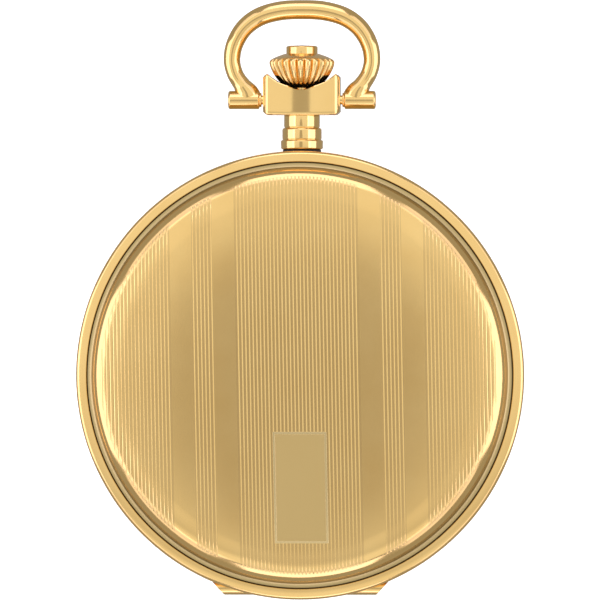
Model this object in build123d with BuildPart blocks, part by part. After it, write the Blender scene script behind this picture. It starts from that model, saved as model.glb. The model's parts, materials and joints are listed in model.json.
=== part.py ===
from build123d import *
from math import atan2, cos, degrees, pi, radians, sin, sqrt
import os

os.makedirs("parts", exist_ok=True)

# Case, mm. +Z is the front of the watch, +Y the pendant, z = 0 the flat of the back.
RIM_R = 24.25           # rim of the front cover
BAND_R = 24.05          # widest part of the band
BAND_LOW = 2.6          # seam to the back cover
BAND_TOP = 8.9          # face the front cover closes on
COVER_LOW = 9.0         # underside of the front cover's rim
COVER_TOP = 13.0        # crown of the front cover's dome
WALL = 0.7              # sheet thickness of both covers
CREASE_R = 23.0         # crease between rim and cove
BAND_BORE_R = 21.2
STEM_Z = 5.4            # height of the stem, neck, head and bow

# Cover hinge
HINGE_Y = -23.0
HINGE_Z = 8.75
KNUCKLE_R = 0.75
KNUCKLE_GAP = 0.05
COVER_KNUCKLE_X = 3.0   # half length of the cover's knuckle
WING_X = 9.57           # half length of the whole hinge
PIN_R = 0.35
PIN_X = 8.4

# Pendant
NECK_BOTTOM = 22.95
HEAD_LOW = 28.19
HEAD_TOP = 32.62
HEAD_X = 4.16           # half width
HEAD_Z = 2.3            # half thickness
SADDLE_R = 5.42
SADDLE_Y = 31.16        # lowest point of the scooped top
PIVOT_Y = 29.82
BARREL_R = 1.0
BARREL_IN = 4.38
BARREL_OUT = 8.0

# Crown and stem
CROWN_R = 3.54
CROWN_FLUTES = 24
BUTTON_R = 1.7
BUTTON_TOP = 35.7
STEM_R = 0.6
STEM_END = 11.4

LATCH_PIVOT = (-14.14, 16.85)

# Movement centres (x, y)
CENTRE = (0.0, 0.0)
BARREL = (-8.1, 3.92)
THIRD = (2.48, -5.545)
FOURTH = (0.0, -10.0)
ESCAPE = (4.33, -10.76)
PALLET = (6.52, -8.71)
BALANCE = (11.0, -4.5)
CROWN_WHEEL = (0.0, 10.757)
MINUTE_WHEEL = (3.4, 3.4)

STEM_AXIS = Axis((0, 0, STEM_Z), (0, 1, 0))
STEM_PLANE = Plane(origin=(0, 0, STEM_Z), x_dir=(1, 0, 0), z_dir=(0, 0, 1))


def save(body, label, tint):
    """Name the piece and write its file."""
    body.part.label = label
    body.part.color = Color(*tint)
    export_step(body.part, f"parts/{label}.step")


GOLD = (0.83, 0.66, 0.36)
STEEL = (0.62, 0.63, 0.65)
BLUED = (0.08, 0.12, 0.35)
BRASS = (0.78, 0.64, 0.38)
NICKEL = (0.76, 0.74, 0.68)
RUBY = (0.65, 0.08, 0.18)
DIAL_WHITE = (0.93, 0.92, 0.88)
RUBBER = (0.08, 0.08, 0.08)
CLEAR = (0.80, 0.87, 0.90)


def turn(points, centre=(0.0, 0.0), mode=Mode.ADD):
    """Closed profile of (radius, z) points turned about an upright axis."""
    upright = Plane(origin=(centre[0], centre[1], 0), x_dir=(1, 0, 0), z_dir=(0, -1, 0))
    with BuildSketch(upright) as profile:
        with BuildLine():
            Polyline(*points, close=True)
        make_face()
    revolve(profile.sketch, axis=Axis((centre[0], centre[1], 0), (0, 0, 1)), mode=mode)


def turn_stem(points, mode=Mode.ADD):
    """Closed profile of (radius, y) points turned about the stem's axis."""
    with BuildSketch(STEM_PLANE) as profile:
        with BuildLine():
            Polyline(*points, close=True)
        make_face()
    revolve(profile.sketch, axis=STEM_AXIS, mode=mode)


def rod_x(x_from, x_to, radius, y, z, mode=Mode.ADD):
    """Round bar along X."""
    with BuildSketch(Plane(origin=(x_from, y, z), x_dir=(0, 1, 0), z_dir=(1, 0, 0))) as end:
        Circle(radius)
    extrude(end.sketch, amount=x_to - x_from, mode=mode)


def disc(centre, radius, z_low, z_high, mode=Mode.ADD):
    """Flat disc, or a hole when the mode takes it away."""
    with BuildSketch(Plane(origin=(centre[0], centre[1], z_low))) as face:
        Circle(radius)
    extrude(face.sketch, amount=z_high - z_low, mode=mode)


def block(x_range, y_range, z_range, mode=Mode.ADD):
    """Rectangular block given by its three ranges."""
    middle = ((x_range[0] + x_range[1]) / 2, (y_range[0] + y_range[1]) / 2, z_range[0])
    with BuildSketch(Plane(origin=middle)) as face:
        Rectangle(x_range[1] - x_range[0], y_range[1] - y_range[0])
    extrude(face.sketch, amount=z_range[1] - z_range[0], mode=mode)


def plate(points, z_low, z_high, mode=Mode.ADD):
    """Flat plate with a straight-sided outline."""
    with BuildSketch(Plane.XY.offset(z_low)) as face:
        with BuildLine():
            Polyline(*points, close=True)
        make_face()
    extrude(face.sketch, amount=z_high - z_low, mode=mode)


def dome_middle(radius, z_axis, z_edge):
    """Halfway point of an arc that crosses the case axis squarely."""
    drop = z_axis - z_edge
    curve = (radius ** 2 + drop ** 2) / (2 * drop)
    bulge = abs(curve) - sqrt(curve ** 2 - radius ** 2 / 4)
    return radius / 2, z_axis - (bulge if drop > 0 else -bulge)


def bearing(origin, target):
    """Direction in degrees from one centre to another."""
    return degrees(atan2(target[1] - origin[1], target[0] - origin[0]))


def ring_points(centre, r_in, r_out, start, end, steps=24):
    """Outline of a flat arc-shaped strip."""
    angles = [radians(start + (end - start) * i / steps) for i in range(steps + 1)]
    outer = [(centre[0] + r_out * cos(a), centre[1] + r_out * sin(a)) for a in angles]
    inner = [(centre[0] + r_in * cos(a), centre[1] + r_in * sin(a)) for a in reversed(angles)]
    return outer + inner


def gear(centre, teeth, module, first, z_low, z_high, bore=0.0):
    """Flat wheel with straight-flanked teeth, one of them pointing in the direction `first`."""
    pitch_r = teeth * module / 2
    step = 2 * pi / teeth
    corners = []
    for i in range(teeth):
        middle = radians(first) + i * step
        for share, radius in (
            (-0.26, pitch_r - 1.15 * module), (-0.12, pitch_r + 0.85 * module),
            (0.12, pitch_r + 0.85 * module), (0.26, pitch_r - 1.15 * module),
        ):
            angle = middle + share * step
            corners.append((centre[0] + radius * cos(angle), centre[1] + radius * sin(angle)))
    plate(corners, z_low, z_high)
    if bore:
        disc(centre, bore, z_low, z_high, Mode.SUBTRACT)


def wheel(centre, teeth, module, first, z_low, z_high, spokes, bore):
    """Toothed wheel with a rim, spokes and a hub."""
    rim_in = teeth * module / 2 - 1.15 * module - 0.45
    gear(centre, teeth, module, first, z_low, z_high, bore)
    with BuildSketch(Plane(origin=(centre[0], centre[1], z_low))) as opening:
        Circle(rim_in)
        Circle(bore + 0.55, mode=Mode.SUBTRACT)
        with PolarLocations(rim_in / 2, spokes):
            Rectangle(rim_in + 0.2, 0.42, mode=Mode.SUBTRACT)
    extrude(opening.sketch, amount=z_high - z_low, mode=Mode.SUBTRACT)


# ---------------------------------------------------------------- case
with BuildPart() as back_cover:
    with BuildSketch(Plane.XZ):
        with BuildLine():
            Line((0, 0), (10, 0))
            ThreePointArc((10, 0), (16.5, 0.22), (21.6, 0.85))
            ThreePointArc((21.6, 0.85), (23.2, 1.45), (23.6, BAND_LOW))
            Line((23.6, BAND_LOW), (22.7, BAND_LOW))
            Line((22.7, BAND_LOW), (21.3, 1.6))
            ThreePointArc((21.3, 1.6), dome_middle(21.3, WALL, 1.6), (0, WALL))
            Line((0, WALL), (0, 0))
        make_face()
    revolve(axis=Axis.Z)
save(back_cover, "back_cover", GOLD)

with BuildPart() as case_band:
    with BuildSketch(Plane.XZ):
        with BuildLine():
            ThreePointArc((23.6, BAND_LOW), (BAND_R, 5.8), (23.9, BAND_TOP))
            Polyline(
                (23.9, BAND_TOP), (22.4, BAND_TOP), (22.4, 7.1), (21.0, 7.1), (21.0, 8.75),
                (20.7, 8.75), (20.7, 7.0), (BAND_BORE_R, 7.0), (BAND_BORE_R, 3.3),
                (21.9, 3.3), (21.9, BAND_LOW), (23.6, BAND_LOW),
            )
        make_face()
    revolve(axis=Axis.Z)
    # hinge seat, and the room the cover's rim swings down into
    rod_x(-WING_X, WING_X, KNUCKLE_R, HINGE_Y, HINGE_Z, Mode.SUBTRACT)
    rod_x(-COVER_KNUCKLE_X - 0.05, COVER_KNUCKLE_X + 0.05, 0.85, HINGE_Y, HINGE_Z, Mode.SUBTRACT)
    block((-9.6, 9.6), (-25, -22.95), (7.3, 9.0), Mode.SUBTRACT)
    # way for the stem, the release collar and the lock spring's tab
    block((-1.6, 1.6), (20.5, NECK_BOTTOM), (4.0, 9.0), Mode.SUBTRACT)
    with BuildSketch(Plane(origin=(0, 22.0, STEM_Z), x_dir=(1, 0, 0), z_dir=(0, 1, 0))):
        Circle(1.6)
    extrude(amount=3, mode=Mode.SUBTRACT)
save(case_band, "case_band", GOLD)

with BuildPart() as case_knuckles:
    for side in (-1, 1):
        near = side * (COVER_KNUCKLE_X + KNUCKLE_GAP)
        rod_x(min(near, side * WING_X), max(near, side * WING_X), KNUCKLE_R, HINGE_Y, HINGE_Z)
    # the outer ends are cut off on a slant
    for side in (-1, 1):
        plate([(side * 8.2, HINGE_Y - 0.76), (side * 9.6, HINGE_Y + 0.76), (side * 11, HINGE_Y + 0.76),
               (side * 11, HINGE_Y - 0.76)], HINGE_Z - 1, HINGE_Z + 1, Mode.SUBTRACT)
    rod_x(-10, 10, PIN_R, HINGE_Y, HINGE_Z, Mode.SUBTRACT)
save(case_knuckles, "case_knuckles", GOLD)

with BuildPart() as hinge_pin:
    rod_x(-PIN_X, PIN_X, PIN_R, HINGE_Y, HINGE_Z)
save(hinge_pin, "hinge_pin", STEEL)

with BuildPart() as front_cover:
    with BuildSketch(Plane.XZ):
        with BuildLine():
            ThreePointArc((0, COVER_TOP), dome_middle(19.5, COVER_TOP, 12.35), (19.5, 12.35))
            Spline((19.5, 12.35), (20.9, 12.14), (21.8, 11.75), (22.3, 11.2), (22.42, 10.7))
            Polyline(
                (22.42, 10.7), (22.6, 10.42), (CREASE_R, 10.38), (23.05, 10.3), (24.02, 10.1),
                (RIM_R, 9.86), (RIM_R, 9.25), (24.05, COVER_LOW), (22.65, COVER_LOW),
                (22.65, 9.75), (21.75, 10.1), (21.2, 11.0), (20.3, 11.45), (19.3, 11.62),
            )
            ThreePointArc((19.3, 11.62), dome_middle(19.3, COVER_TOP - WALL, 11.62), (0, COVER_TOP - WALL))
            Line((0, COVER_TOP - WALL), (0, COVER_TOP))
        make_face()
    revolve(axis=Axis.Z)
    rod_x(-12, 12, KNUCKLE_R + KNUCKLE_GAP, HINGE_Y, HINGE_Z, Mode.SUBTRACT)
    # catch lip inside the rim, under the pendant
    with BuildSketch(Plane.XY.offset(9.0)):
        with BuildLine():
            Polyline(*ring_points((0, 0), 22.35, 22.7, 85, 95), close=True)
        make_face()
    extrude(amount=0.35)
save(front_cover, "front_cover", GOLD)

with BuildPart() as cover_knuckle:
    rod_x(-COVER_KNUCKLE_X, COVER_KNUCKLE_X, KNUCKLE_R, HINGE_Y, HINGE_Z)
    # web that joins the knuckle to the underside of the rim
    block((-2.9, 2.9), (-23.6, -22.7), (9.2, 9.9))
    rod_x(-5, 5, PIN_R + 0.03, HINGE_Y, HINGE_Z, Mode.SUBTRACT)
    add(front_cover.part, mode=Mode.SUBTRACT)
save(cover_knuckle, "cover_knuckle", GOLD)

with BuildPart() as bezel:
    turn([(19.55, 8.4), (20.7, 8.4), (20.7, 8.76), (20.45, 9.35), (20.0, 9.6), (19.62, 9.6), (19.62, 9.05),
          (19.2, 8.7), (19.2, 8.4)])
save(bezel, "bezel", GOLD)

with BuildPart() as crystal:
    with BuildSketch(Plane.XZ):
        with BuildLine():
            ThreePointArc((0, 11.1), dome_middle(19.5, 11.1, 9.7), (19.5, 9.7))
            Line((19.5, 9.7), (19.5, 9.05))
            ThreePointArc((19.5, 9.05), dome_middle(19.5, 10.2, 9.05), (0, 10.2))
            Line((0, 10.2), (0, 11.1))
        make_face()
    revolve(axis=Axis.Z)
save(crystal, "crystal", CLEAR)

with BuildPart() as crystal_gasket:
    turn([(19.5, 9.05), (19.62, 9.05), (19.62, 9.55), (19.5, 9.55)])
save(crystal_gasket, "crystal_gasket", RUBBER)

with BuildPart() as back_gasket:
    turn([(21.45, 2.7), (21.88, 2.7), (21.88, 3.25), (21.45, 3.25)])
save(back_gasket, "back_gasket", RUBBER)

# ---------------------------------------------------------------- pendant and bow
with BuildPart() as pendant_neck:
    turn_stem([
        (1.1, NECK_BOTTOM), (1.98, NECK_BOTTOM), (1.98, 24.42), (2.27, 24.5), (2.27, 25.4),
        (2.13, 25.55), (2.13, 26.7), (1.94, 26.85), (1.94, HEAD_LOW), (1.1, HEAD_LOW),
    ])
    add(case_band.part, mode=Mode.SUBTRACT)
save(pendant_neck, "pendant_neck", GOLD)

with BuildPart() as pendant_head:
    block((-HEAD_X, HEAD_X), (HEAD_LOW, HEAD_TOP), (STEM_Z - HEAD_Z, STEM_Z + HEAD_Z))
    chamfer(pendant_head.edges().filter_by(Axis.Y), 0.45)
    chamfer(pendant_head.faces().sort_by(Axis.Y)[0].edges(), 0.3)
    # scooped top
    disc((0, SADDLE_Y + SADDLE_R), SADDLE_R, 0, 12, Mode.SUBTRACT)
    # bowl under the crown, and the bore for the crown's tube and the stem
    turn_stem([(0, 30.9), (2.2, 30.9), (3.2, 32.0), (3.75, 32.8), (0, 32.8)], Mode.SUBTRACT)
    turn_stem([(0, 28.0), (1.1, 28.0), (1.1, 29.6), (1.3, 29.6), (1.3, 31.0), (0, 31.0)], Mode.SUBTRACT)
    for side in (-1, 1):
        ends = sorted((side * 2.9, side * 4.3))
        rod_x(ends[0], ends[1], 0.5, PIVOT_Y, STEM_Z, Mode.SUBTRACT)
save(pendant_head, "pendant_head", GOLD)

with BuildPart() as bow_screws:
    for side in (-1, 1):
        shank = sorted((side * 2.9, side * 7.4))
        head = sorted((side * 7.4, side * 7.85))
        slot = sorted((side * 7.7, side * 7.9))
        rod_x(shank[0], shank[1], 0.5, PIVOT_Y, STEM_Z)
        rod_x(head[0], head[1], 0.7, PIVOT_Y, STEM_Z)
        block(slot, (PIVOT_Y - 0.8, PIVOT_Y + 0.8), (STEM_Z - 0.1, STEM_Z + 0.1), Mode.SUBTRACT)
save(bow_screws, "bow_screws", GOLD)

BOW_PATH = (
    (-6.0, PIVOT_Y + 0.35), (-6.85, 31.9), (-7.55, 34.3), (-6.75, 37.0), (-4.1, 38.98), (0, 39.62),
    (4.1, 38.98), (6.75, 37.0), (7.55, 34.3), (6.85, 31.9), (6.0, PIVOT_Y + 0.35),
)
with BuildPart() as bow:
    with BuildLine(STEM_PLANE) as bow_line:
        Spline(*BOW_PATH)
    with BuildSketch(Plane(origin=bow_line.line @ 0, z_dir=bow_line.line % 0)):
        Circle(0.98)
    sweep(path=bow_line.line)
    for side in (-1, 1):
        barrel = sorted((side * BARREL_IN, side * BARREL_OUT))
        seat = sorted((side * 7.38, side * 8.1))
        rod_x(barrel[0], barrel[1], BARREL_R, PIVOT_Y, STEM_Z)
        rod_x(-9, 9, 0.53, PIVOT_Y, STEM_Z, Mode.SUBTRACT)
        rod_x(seat[0], seat[1], 0.73, PIVOT_Y, STEM_Z, Mode.SUBTRACT)
save(bow, "bow", GOLD)

# ---------------------------------------------------------------- crown and stem
with BuildPart() as crown:
    turn_stem([
        (0.0, 31.15), (1.7, 31.2), (2.3, 31.62), (2.86, 32.3), (3.28, 33.0), (CROWN_R, 33.7),
        (CROWN_R, 34.02), (3.34, 34.24), (2.75, 34.52), (1.85, 34.84), (1.85, 34.5), (0.0, 34.5),
    ])
    # tube that dips into the pendant head
    turn_stem([(0.6, 29.75), (1.2, 29.75), (1.2, 31.6), (0.6, 31.6)])
    turn_stem([(0, 29.7), (0.6, 29.7), (0.6, 32.6), (0, 32.6)], Mode.SUBTRACT)
    turn_stem([(0, 29.7), (0.34, 29.7), (0.34, 34.6), (0, 34.6)], Mode.SUBTRACT)
    # room for the push button to sink into
    turn_stem([(0, 33.7), (1.76, 33.7), (1.76, 35.0), (0, 35.0)], Mode.SUBTRACT)
    with BuildSketch(Plane(origin=(0, 31.1, STEM_Z), x_dir=(1, 0, 0), z_dir=(0, 1, 0))):
        with PolarLocations(3.62, CROWN_FLUTES):
            Circle(0.26)
    extrude(amount=3.3, mode=Mode.SUBTRACT)
save(crown, "crown", GOLD)

with BuildPart() as winding_stem:
    turn_stem([
        (0, STEM_END), (0.35, STEM_END), (0.35, 11.95), (STEM_R, 11.95), (STEM_R, 16.15), (0.4, 16.15),
        (0.4, 16.65), (STEM_R, 16.65), (STEM_R, 32.6), (0, 32.6),
    ])
    turn_stem([(0, 21.3), (0.32, 21.3), (0.32, 33.0), (0, 33.0)], Mode.SUBTRACT)
    block((-1, 1), (21.3, 22.7), (STEM_Z - 0.16, STEM_Z + 0.16), Mode.SUBTRACT)
save(winding_stem, "winding_stem", STEEL)

with BuildPart() as crown_gasket:
    turn_stem([(0.62, 28.4), (1.08, 28.4), (1.08, 28.9), (0.62, 28.9)])
save(crown_gasket, "crown_gasket", RUBBER)

with BuildPart() as release_button:
    turn_stem([
        (0, 22.1), (0.28, 22.1), (0.28, 34.4), (BUTTON_R, 34.4), (BUTTON_R, 35.55), (1.5, BUTTON_TOP),
        (0, BUTTON_TOP + 0.06),
    ])
    rod_x(-0.64, 0.64, 0.12, 22.45, STEM_Z)
save(release_button, "release_button", GOLD)

with BuildPart() as release_collar:
    turn_stem([(0.64, 22.3), (0.92, 22.3), (0.92, 22.6), (0.64, 22.6)])
save(release_collar, "release_collar", STEEL)

# the lock spring pivots in the band's channel and hooks over the cover's catch lip
with BuildPart() as lock_spring:
    plate(ring_points((0, 0), 21.7, 22.1, 87, 130), 7.2, 8.7)
    plate(ring_points((0, 0), 21.62, 22.1, 87, 93), 4.2, 8.7)
    plate(ring_points((0, 0), 21.62, 22.1, 88, 92), 8.7, 9.85)
    plate(ring_points((0, 0), 22.1, 22.31, 88, 92), 9.4, 9.75)
    # eye it turns on
    disc(LATCH_PIVOT, 0.32, 7.2, 8.7)
    block((-0.8, 0.8), (21, 23), (4.0, STEM_Z), Mode.SUBTRACT)
    with BuildSketch(Plane(origin=(0, 21.0, STEM_Z), x_dir=(1, 0, 0), z_dir=(0, 1, 0))):
        Circle(0.88)
    extrude(amount=2, mode=Mode.SUBTRACT)
save(lock_spring, "lock_spring", STEEL)

with BuildPart() as lift_spring:
    plate(ring_points((0, 0), 21.5, 21.9, 200, 245), 7.2, 8.7)
save(lift_spring, "lift_spring", STEEL)

# ---------------------------------------------------------------- movement, fixed pieces
with BuildPart() as casing_ring:
    turn([(18.35, 4.6), (21.1, 4.6), (21.1, 7.0), (18.35, 7.0)])
    block((-1.6, 1.6), (15, 22), (4, 8), Mode.SUBTRACT)
save(casing_ring, "casing_ring", NICKEL)

with BuildPart() as casing_screws:
    for angle in (40, 160, 280):
        spot = (18.65 * cos(radians(angle)), 18.65 * sin(radians(angle)))
        disc(spot, 0.6, 4.15, 4.6)
        block((spot[0] - 0.8, spot[0] + 0.8), (spot[1] - 0.1, spot[1] + 0.1), (4.1, 4.3), Mode.SUBTRACT)
save(casing_screws, "casing_screws", BLUED)

with BuildPart() as dial:
    disc(CENTRE, 19.9, 7.9, 8.3)
    disc(FOURTH, 4.6, 8.2, 8.3, Mode.SUBTRACT)
    disc(CENTRE, 1.0, 7.9, 8.3, Mode.SUBTRACT)
    disc(FOURTH, 0.35, 7.9, 8.3, Mode.SUBTRACT)
save(dial, "dial", DIAL_WHITE)

ARBORS = (CENTRE, THIRD, FOURTH, ESCAPE, PALLET, BALANCE)
with BuildPart() as main_plate:
    disc(CENTRE, 18.3, 4.8, 7.0)
    # recesses from the bridge side for the train, the barrel and the balance
    disc(BARREL, 8.6, 4.8, 6.4, Mode.SUBTRACT)
    disc(CENTRE, 8.5, 4.8, 6.4, Mode.SUBTRACT)
    disc(THIRD, 4.9, 4.8, 6.4, Mode.SUBTRACT)
    disc(FOURTH, 5.2, 4.8, 6.4, Mode.SUBTRACT)
    disc(ESCAPE, 3.6, 4.8, 6.4, Mode.SUBTRACT)
    disc(BALANCE, 5.6, 4.8, 6.4, Mode.SUBTRACT)
    block((-2.1, 2.1), (11.3, 17.6), (4.8, 7.0), Mode.SUBTRACT)
    block((-0.7, 0.7), (10.9, 18.5), (4.7, STEM_Z), Mode.SUBTRACT)
    turn_stem([(0, 10.9), (0.66, 10.9), (0.66, 18.5), (0, 18.5)], Mode.SUBTRACT)
    disc(CENTRE, 0.62, 6.0, 7.0, Mode.SUBTRACT)
    for spot in ARBORS[1:]:
        disc(spot, 0.32, 6.0, 7.0, Mode.SUBTRACT)
    disc(BARREL, 0.62, 6.0, 7.0, Mode.SUBTRACT)
    # feet that carry the dial
    turn([(17.7, 6.9), (18.3, 6.9), (18.3, 7.9), (17.7, 7.9)])
save(main_plate, "main_plate", NICKEL)

with BuildPart() as minute_post:
    disc(MINUTE_WHEEL, 0.35, 7.0, 7.85)
save(minute_post, "minute_post", STEEL)

with BuildPart() as barrel_bridge:
    plate(ring_points(CENTRE, 9.6, 18.0, 60, 205, 40), 3.65, 4.25)
    disc(BARREL, 3.6, 3.65, 4.25)
    disc(CROWN_WHEEL, 3.4, 3.65, 4.25)
    plate(ring_points(CENTRE, 17.1, 18.0, 98, 200, 30), 4.25, 4.8)
    block((-2.1, 2.1), (11.2, 18.2), (3.5, 4.9), Mode.SUBTRACT)
    disc(BARREL, 0.65, 3.6, 4.3, Mode.SUBTRACT)
    disc(CROWN_WHEEL, 0.62, 3.6, 4.3, Mode.SUBTRACT)
save(barrel_bridge, "barrel_bridge", NICKEL)

TRAIN_BRIDGE = (
    (-1.2, 1.6), (2.6, 2.2), (5.2, -2.4), (4.0, -7.4), (6.6, -12.2), (8.6, -15.9), (-2.6, -17.8),
    (-6.5, -16.4), (-3.2, -11.0), (-1.8, -5.0),
)
with BuildPart() as train_bridge:
    plate(TRAIN_BRIDGE, 3.3, 4.1)
    plate(ring_points(CENTRE, 16.1, 18.0, 248, 298, 20), 4.1, 4.8)
    for spot in (CENTRE, THIRD, FOURTH, ESCAPE):
        disc(spot, 0.3, 3.2, 4.2, Mode.SUBTRACT)
save(train_bridge, "train_bridge", NICKEL)

with BuildPart() as pallet_bridge:
    plate([(5.9, -8.2), (7.2, -8.2), (11.6, -11.6), (10.4, -13.4), (9.2, -13.4), (5.9, -9.3)], 4.3, 4.75)
    disc(PALLET, 0.2, 4.2, 4.9, Mode.SUBTRACT)
    disc((10.4, -12.4), 0.6, 4.7, 4.8)
save(pallet_bridge, "pallet_bridge", NICKEL)

with BuildPart() as balance_cock:
    disc(BALANCE, 1.3, 2.85, 3.6)
    plate([(10.2, -5.4), (11.8, -3.5), (17.2, -2.0), (17.4, -5.2), (12.2, -6.0)], 2.85, 3.6)
    block((16.6, 17.5), (-4.4, -2.6), (3.6, 4.8))
    disc(BALANCE, 0.16, 2.8, 3.7, Mode.SUBTRACT)
save(balance_cock, "balance_cock", NICKEL)

BRIDGE_SCREWS = ((-7.5, 13.6), (-15.8, 4.0), (-14.2, -4.4), (2.5, -16.9), (-4.6, -16.2), (16.9, -3.6))
with BuildPart() as bridge_screws:
    for index, spot in enumerate(BRIDGE_SCREWS):
        seat = (3.65, 3.65, 3.65, 3.3, 3.3, 2.85)[index]
        disc(spot, 0.7, seat - 0.4, seat)
        block((spot[0] - 0.8, spot[0] + 0.8), (spot[1] - 0.09, spot[1] + 0.09), (seat - 0.45, seat - 0.2),
              Mode.SUBTRACT)
save(bridge_screws, "bridge_screws", BLUED)

with BuildPart() as jewels:
    for spot in (CENTRE, THIRD, FOURTH, ESCAPE):
        turn([(0.16, 3.35), (0.3, 3.35), (0.3, 3.95), (0.16, 3.95)], spot)
    for spot in (THIRD, FOURTH, ESCAPE):
        turn([(0.16, 6.45), (0.32, 6.45), (0.32, 6.9), (0.16, 6.9)], spot)
    turn([(0.1, 6.45), (0.32, 6.45), (0.32, 6.9), (0.1, 6.9)], PALLET)
    turn([(0.1, 6.45), (0.32, 6.45), (0.32, 6.9), (0.1, 6.9)], BALANCE)
    turn([(0.08, 2.9), (0.16, 2.9), (0.16, 3.5), (0.08, 3.5)], BALANCE)
save(jewels, "jewels", RUBY)

# ---------------------------------------------------------------- winding work
with BuildPart() as winding_pinion:
    with BuildSketch(Plane(origin=(0, 16.0, STEM_Z), x_dir=(1, 0, 0), z_dir=(0, -1, 0))):
        Circle(1.77)
        with PolarLocations(1.77, 18, start_angle=10):
            Rectangle(0.7, 0.3, mode=Mode.SUBTRACT)
        Circle(STEM_R + 0.03, mode=Mode.SUBTRACT)
    extrude(amount=1.6)
save(winding_pinion, "winding_pinion", STEEL)

with BuildPart() as clutch_wheel:
    turn_stem([(0.64, 12.1), (1.5, 12.1), (1.5, 12.8), (1.05, 12.8), (1.05, 13.3), (1.5, 13.3), (1.5, 14.2),
               (0.64, 14.2)])
save(clutch_wheel, "clutch_wheel", STEEL)

with BuildPart() as crown_wheel:
    gear(CROWN_WHEEL, 44, 0.2, bearing(CROWN_WHEEL, BARREL), 3.2, 3.58)
    disc(CROWN_WHEEL, 0.58, 3.58, 4.2)
save(crown_wheel, "crown_wheel", STEEL)

with BuildPart() as ratchet_wheel:
    gear(BARREL, 62, 0.2, bearing(BARREL, CROWN_WHEEL) + 180 / 62, 3.2, 3.58, 0.5)
save(ratchet_wheel, "ratchet_wheel", STEEL)

with BuildPart() as click:
    plate([(-15.7, 8.1), (-14.35, 7.0), (-13.7, 7.5), (-14.6, 9.3), (-15.6, 9.0)], 3.2, 3.55)
save(click, "click", STEEL)

with BuildPart() as click_spring:
    plate(ring_points(CENTRE, 17.2, 17.4, 155, 176), 3.3, 3.6)
save(click_spring, "click_spring", STEEL)

with BuildPart() as setting_lever:
    plate([(0.5, 16.7), (3.2, 16.5), (4.5, 15.4), (3.8, 14.7), (2.9, 15.3), (0.5, 16.1)], 7.05, 7.3)
    disc((3.9, 15.4), 0.5, 7.0, 7.45)
    # pin that sits in the stem's groove
    disc((0.62, 16.4), 0.16, 5.2, 7.1)
save(setting_lever, "setting_lever", STEEL)

with BuildPart() as yoke:
    plate([(-5.6, 11.9), (-2.2, 13.4), (-0.4, 13.25), (-0.4, 12.85), (-2.2, 12.4), (-5.2, 11.0)], 7.05, 7.3)
    disc((-5.2, 11.5), 0.5, 7.0, 7.45)
save(yoke, "yoke", STEEL)

# ---------------------------------------------------------------- going train
with BuildPart() as barrel_drum:
    gear(BARREL, 78, 0.2, bearing(BARREL, CENTRE), 5.3, 5.7, 0.64)
    turn([(6.9, 4.7), (7.3, 4.7), (7.3, 5.4), (6.9, 5.4)], BARREL)
save(barrel_drum, "barrel_drum", BRASS)

with BuildPart() as barrel_cover:
    turn([(0.64, 4.75), (6.88, 4.75), (6.88, 4.9), (0.64, 4.9)], BARREL)
save(barrel_cover, "barrel_cover", BRASS)

with BuildPart() as mainspring:
    for coil in range(7):
        radius = 3.2 + 0.5 * coil
        turn([(radius, 4.95), (radius + 0.2, 4.95), (radius + 0.2, 5.25), (radius, 5.25)], BARREL)
    block((BARREL[0] + 3.3, BARREL[0] + 6.9), (BARREL[1] - 0.1, BARREL[1] + 0.1), (4.95, 5.25))
save(mainspring, "mainspring", STEEL)

with BuildPart() as barrel_arbor:
    disc(BARREL, 0.5, 3.2, 3.65)
    disc(BARREL, 0.6, 3.65, 6.9)
save(barrel_arbor, "barrel_arbor", STEEL)

with BuildPart() as centre_wheel:
    wheel(CENTRE, 80, 0.135, bearing(CENTRE, THIRD), 4.35, 4.6, 5, 0.14)
    gear(CENTRE, 12, 0.2, bearing(CENTRE, BARREL) + 15, 5.2, 5.85)
    disc(CENTRE, 0.14, 3.4, 4.4)
    disc(CENTRE, 0.5, 4.35, 7.05)
    disc(CENTRE, 0.3, 7.05, 9.0)
save(centre_wheel, "centre_wheel", BRASS)

with BuildPart() as third_wheel:
    gear(THIRD, 10, 0.135, bearing(THIRD, CENTRE) + 18, 4.2, 4.8)
    wheel(THIRD, 75, 0.12, bearing(THIRD, FOURTH), 5.9, 6.15, 5, 0.14)
    disc(THIRD, 0.14, 3.4, 6.9)
    disc(THIRD, 0.35, 4.8, 6.2)
save(third_wheel, "third_wheel", BRASS)

with BuildPart() as fourth_wheel:
    gear(FOURTH, 10, 0.12, bearing(FOURTH, THIRD) + 18, 5.75, 6.3)
    wheel(FOURTH, 80, 0.1, bearing(FOURTH, ESCAPE), 4.85, 5.05, 5, 0.14)
    disc(FOURTH, 0.14, 3.4, 8.25)
    disc(FOURTH, 0.32, 4.85, 5.8)
save(fourth_wheel, "fourth_wheel", BRASS)

with BuildPart() as escape_wheel:
    gear(ESCAPE, 8, 0.1, bearing(ESCAPE, FOURTH) + 22.5, 4.65, 5.25)
    with BuildSketch(Plane(origin=(ESCAPE[0], ESCAPE[1], 5.35))):
        Circle(1.75)
        with PolarLocations(1.95, 15):
            Trapezoid(0.3, 0.75, 80, rotation=-90)
        Circle(1.35, mode=Mode.SUBTRACT)
        Rectangle(2.9, 0.3)
        Rectangle(0.3, 2.9)
    extrude(amount=0.2)
    disc(ESCAPE, 0.14, 3.4, 6.9)
    disc(ESCAPE, 0.25, 5.25, 5.6)
save(escape_wheel, "escape_wheel", STEEL)

FORK = bearing(PALLET, BALANCE)
TOWARDS_ESCAPE = bearing(PALLET, ESCAPE)


def away(origin, direction, distance):
    """Point at a distance from another in a direction given in degrees."""
    return (origin[0] + distance * cos(radians(direction)), origin[1] + distance * sin(radians(direction)))


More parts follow.
